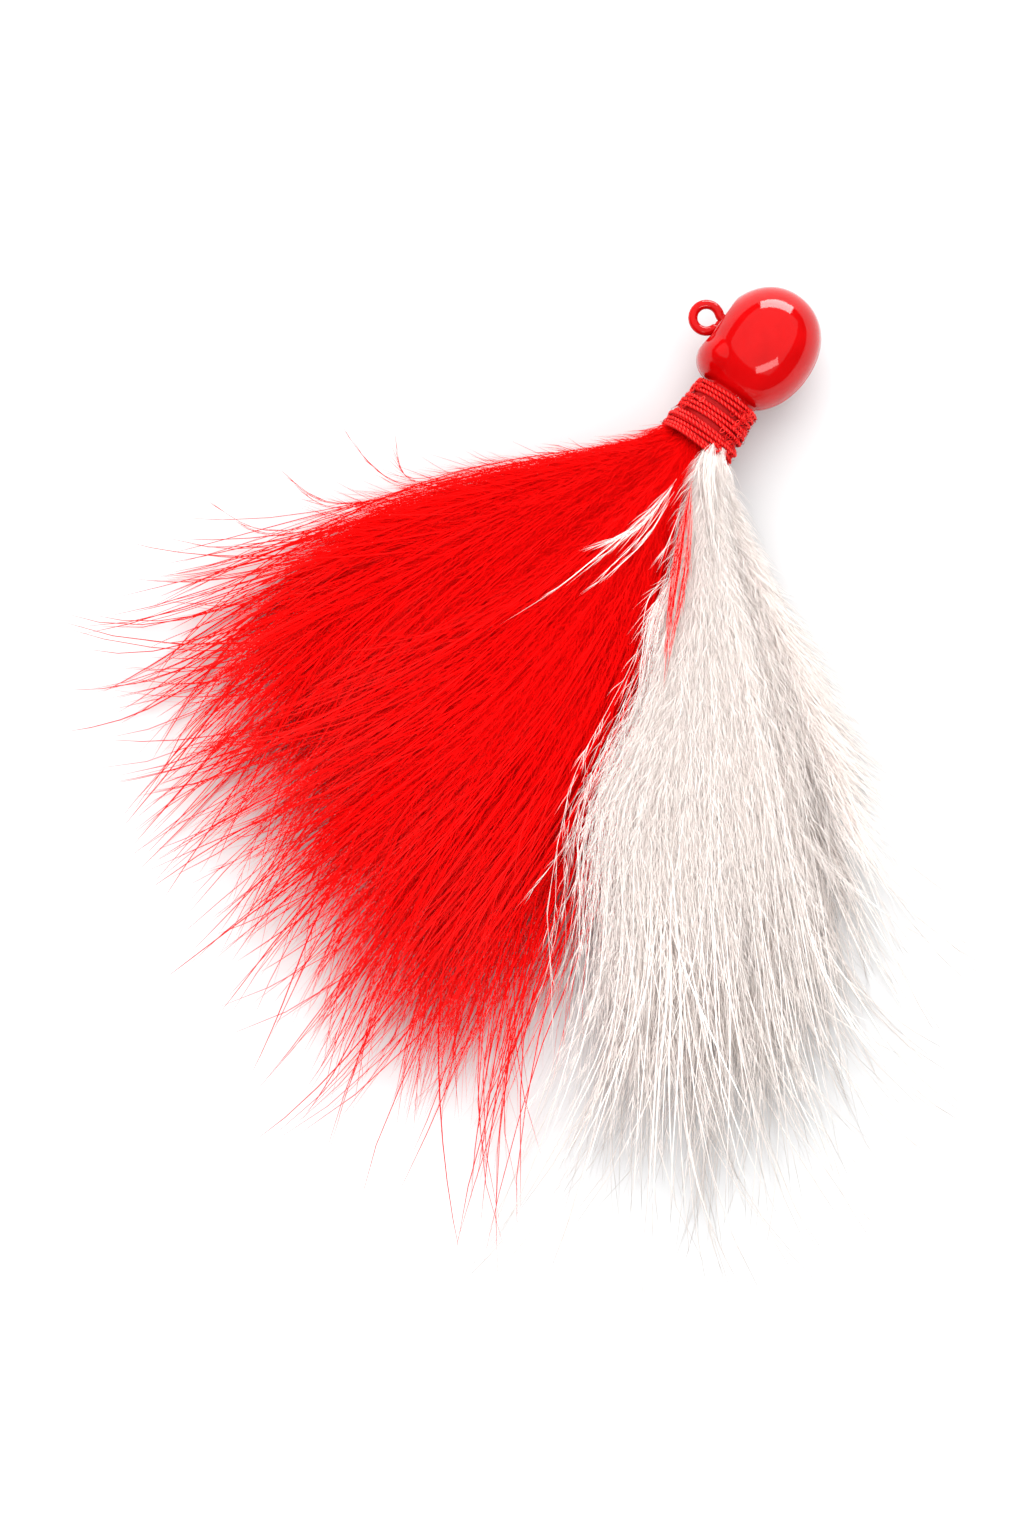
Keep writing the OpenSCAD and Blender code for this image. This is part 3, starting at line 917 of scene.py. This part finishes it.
# Tufts that stray out of their plume's own line: how many barbs, how far they spread, and points along
# the middle, in mm
TUFTS = {
    "white_plume_4": [
        (4, 0.2, [(11.2, 5.0, 2.8), (13.5, 5.0, 3.5), (15.4, 4.9, 4.0), (17.0, 4.35, 4.15), (18.6, 3.9, 4.2),
                  (20.7, 3.3, 4.2), (22.6, 2.8, 4.15), (24.4, 2.0, 4.0), (27.3, 0.55, 3.7)]),
        (3, 0.15, [(11.8, 5.1, 3.0), (15.4, 4.9, 4.0), (16.7, 4.4, 4.2), (18.3, 3.3, 4.2), (19.6, 2.3, 3.9)]),
        (3, 0.2, [(12.0, 5.4, 3.0), (16.2, 5.5, 4.0), (18.4, 5.0, 4.2), (20.2, 4.6, 4.2), (22.4, 4.05, 4.0)]),
        (1, 0.1, [(12.4, 6.3, 3.0), (13.9, 6.6, 3.7), (15.3, 6.9, 4.0), (16.3, 7.2, 4.1), (17.9, 7.1, 3.9)]),
        (14, 0.4, [(17.0, 8.9, 3.0), (18.6, 9.1, 3.6), (19.9, 9.2, 3.9), (21.8, 10.0, 4.0), (24.2, 11.2, 4.0),
                   (28.0, 12.8, 3.8)]),
        (26, 0.3, [(7.6, 5.7, 2.95), (8.6, 6.0, 3.0), (10.0, 6.8, 3.1), (12.5, 8.9, 3.1), (16.0, 12.0, 3.2)]),
    ],
    "red_plume_5": [
        (16, 0.32, [(10.5, 5.9, 2.4), (13.3, 7.3, 3.4), (16.3, 8.9, 4.0), (18.7, 10.0, 4.2),
                    (21.0, 11.1, 4.2), (24.6, 13.1, 4.0)]),
    ],
    "red_plume_4": [
        (3, 0.12, [(15.0, -3.5, 1.6), (20.0, -8.0, 1.4), (23.0, -10.6, 1.2), (23.2, -13.6, 1.0),
                   (21.7, -17.5, 0.6)]),
        (2, 0.1, [(15.0, -4.0, 1.6), (20.0, -8.5, 1.4), (22.6, -10.6, 1.2), (21.9, -12.2, 1.3),
                  (20.1, -13.4, 1.2)]),
        (3, 0.12, [(18.0, -6.5, 1.2), (24.0, -11.0, 0.8), (27.0, -14.0, 0.6), (27.4, -16.4, 0.4),
                   (26.8, -19.6, 0.0)]),
        (3, 0.12, [(21.0, -8.5, 1.0), (27.0, -13.0, 0.0), (30.9, -16.2, -0.4), (32.0, -19.0, -0.8),
                   (31.7, -22.7, -1.2)]),
    ],
}


def make_tuft(barbs, spread, points, seed):
    rng = np.random.default_rng(seed)
    points = np.array(points)
    knots = np.linspace(0, 1, len(points))
    paths = []
    for number in range(barbs):
        start = 0.3 * rng.random() ** 2
        end = 1 - 0.35 * rng.random() * (number > 0)
        t = np.linspace(start, end, BARB_POINTS)
        path = relax(np.stack([np.interp(t, knots, points[:, c]) for c in range(3)], -1), 4)
        offset = spread * rng.normal(0, 1, 3) * np.array([0.6, 1, 0.5])
        paths.append(path + offset * np.sin(math.pi * np.clip(t, 0, 1) ** 0.8)[:, None])
    swell = np.clip(np.sin(math.pi * np.linspace(0.12, 0.95, BARB_POINTS)), 0.15, 1)
    return np.array(paths), np.broadcast_to(TUFT_R * swell, (barbs, BARB_POINTS)), rng.random(barbs)


def add_plume_piece(plume, piece, material, node):
    """Gives a plume's piece its look and hides the CAD node that it takes the place of; its place is baked
    into its mesh, and it is attached to no body.
    """
    piece.data.materials.append(material)
    plume.blend(piece)
    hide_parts(node)


def make_stem(plume, material):
    r = np.linspace(-ROOT_BACK, plume.quill_len, 40)
    rachis = np.stack([*plume.place(r, plume.aim, plume.spec["root"]), plume.height(r)], -1)
    stem = tubes_object(plume.name + "_stem", [(rachis, np.linspace(0.2, 0.05, 40), 10)])
    add_plume_piece(plume, stem, material, plume.name + "_quill")


def make_plume(name, seed, material, quill):
    plume = Plume(name)
    node = name + "_barbs"
    length = plume.spec["down_length"]
    groups = [make_barbs(plume, BARBS, seed)]
    for extra, tuft in enumerate(TUFTS.get(name, [])):
        groups.append(make_tuft(*tuft, seed + 200 + extra))
    paths, radii, ids = (np.concatenate(parts) for parts in zip(*groups))
    barbs = strand_mesh(name + "_barb_strands", paths, radii, ids)
    add_plume_piece(plume, barbs, material, node)
    bare = np.where(np.arange(BARBS) < WISP_LOCKS * WISP_BARBS, BARE_WISP, BARE_BARB)
    for layer in range(DOWN_LAYERS):
        draws = seed + 100 + 50 * layer
        down, which = make_down(paths[:BARBS], DOWN_PER_BARB, draws, length, bare, DOWN_TURN)
        shades = ids[which]
        if layer == 0 and len(paths) > BARBS:
            tufts = paths[BARBS:]
            close, which = make_down(tufts, TUFT_DOWN, seed + 300, length, BARE_TUFT, TUFT_DOWN_TURN)
            down, shades = np.concatenate([down, close]), np.concatenate([shades, ids[BARBS + which]])
        taper = np.broadcast_to(DOWN_R * DOWN_TAPER, down.shape[:2])
        fluff = strand_mesh("%s_down_%d" % (name, layer + 1), down, taper, shades, tip=DOWN_TIP)
        add_plume_piece(plume, fluff, material, node)
    if plume.spec["fringe"]:
        loose, shades = make_fringe(plume, seed + 400)
        taper = np.broadcast_to(FRINGE_R * FRINGE_TAPER, loose.shape[:2])
        fringe = strand_mesh(name + "_fringe", loose, taper, shades, tip=DOWN_TIP)
        add_plume_piece(plume, fringe, material, node)
    make_stem(plume, quill)


for number, plume_name in enumerate(RED_PLUMES):
    make_plume(plume_name, 20 + number, RED_DOWN, RED_QUILL)
for number, plume_name in enumerate(WHITE_PLUMES):
    make_plume(plume_name, 40 + number, WHITE_DOWN, WHITE_QUILL)


# ---------------------------------------------------------------- floor and light

WORLD_STRENGTH = 1.52
DARK_ROOM = (0.05, 0.05, 0.05)


def make_floor():
    half = 1500.0
    points = np.array([[-half, -half, FLOOR_Z], [half, -half, FLOOR_Z], [half, half, FLOOR_Z],
                       [-half, half, FLOOR_Z]])
    floor = mesh_object("floor", points, [np.array([[0, 1, 2, 3]])], smooth=False)
    material, _, _ = new_material("floor", (0.6, 0.6, 0.603), 0.9, Specular_IOR_Level=0.1)
    floor.data.materials.append(material)


def in_picture(right, up, height):
    """A place given along the picture's right and up, from the middle of the ball, and above the floor."""
    flat = Vector((BALL[0], BALL[1], 0)) + PICTURE_RIGHT * right + PICTURE_UP * up
    return (flat.x, flat.y, FLOOR_Z + height)


def area_light(name, place, target, size, radiance, glossy):
    """A rectangular lamp of even radiance, seen either only in reflections or only as soft light."""
    data = bpy.data.lights.new(name, "AREA")
    data.shape = "RECTANGLE"
    data.size, data.size_y = size[0] * MM, size[1] * MM
    data.energy = radiance * math.pi * data.size * data.size_y
    light = bpy.data.objects.new(name, data)
    bpy.context.scene.collection.objects.link(light)
    place, target = Vector(place) * MM, Vector(target) * MM
    light.location = place
    light.rotation_euler = (place - target).to_track_quat("Z", "Y").to_euler()
    light.visible_camera = False
    light.visible_glossy = glossy
    light.visible_diffuse = not glossy


def make_world():
    """White all round, but dark where a reflection sees it: there the lamps stand for the room."""
    world = bpy.data.worlds.new("studio")
    bpy.context.scene.world = world
    world.use_nodes = True
    tree = world.node_tree
    background = tree.nodes["Background"]
    path = add_node(tree, "ShaderNodeLightPath")
    mixed = add_node(tree, "ShaderNodeMix", data_type="RGBA")
    mixed.inputs["A"].default_value = (1.0, 1.0, 1.0, 1)
    mixed.inputs["B"].default_value = (*DARK_ROOM, 1)
    tree.links.new(path.outputs["Is Glossy Ray"], mixed.inputs["Factor"])
    tree.links.new(mixed.outputs["Result"], background.inputs["Color"])
    background.inputs["Strength"].default_value = WORLD_STRENGTH


make_floor()
make_world()
area_light("key", in_picture(-60, 300, 460), in_picture(-20, -40, 0), (600, 600), 3.0, False)
area_light("ceiling", in_picture(0, 480, 350), in_picture(0, 480, 0), (1400, 1450), 0.86, True)
area_light("window", in_picture(70, 290, 50), in_picture(0, 0, 5), (270, 130), 17.0, True)
area_light("lamp", in_picture(56, -175, 240), in_picture(0, 0, 5), (230, 75), 9.0, True)
bpy.context.scene.view_settings.view_transform = "Standard"
bpy.context.scene.view_settings.look = "None"
bpy.context.scene.cycles.diffuse_bounces = 12   # light goes deep into pale down
bpy.context.scene.cycles.max_bounces = 16
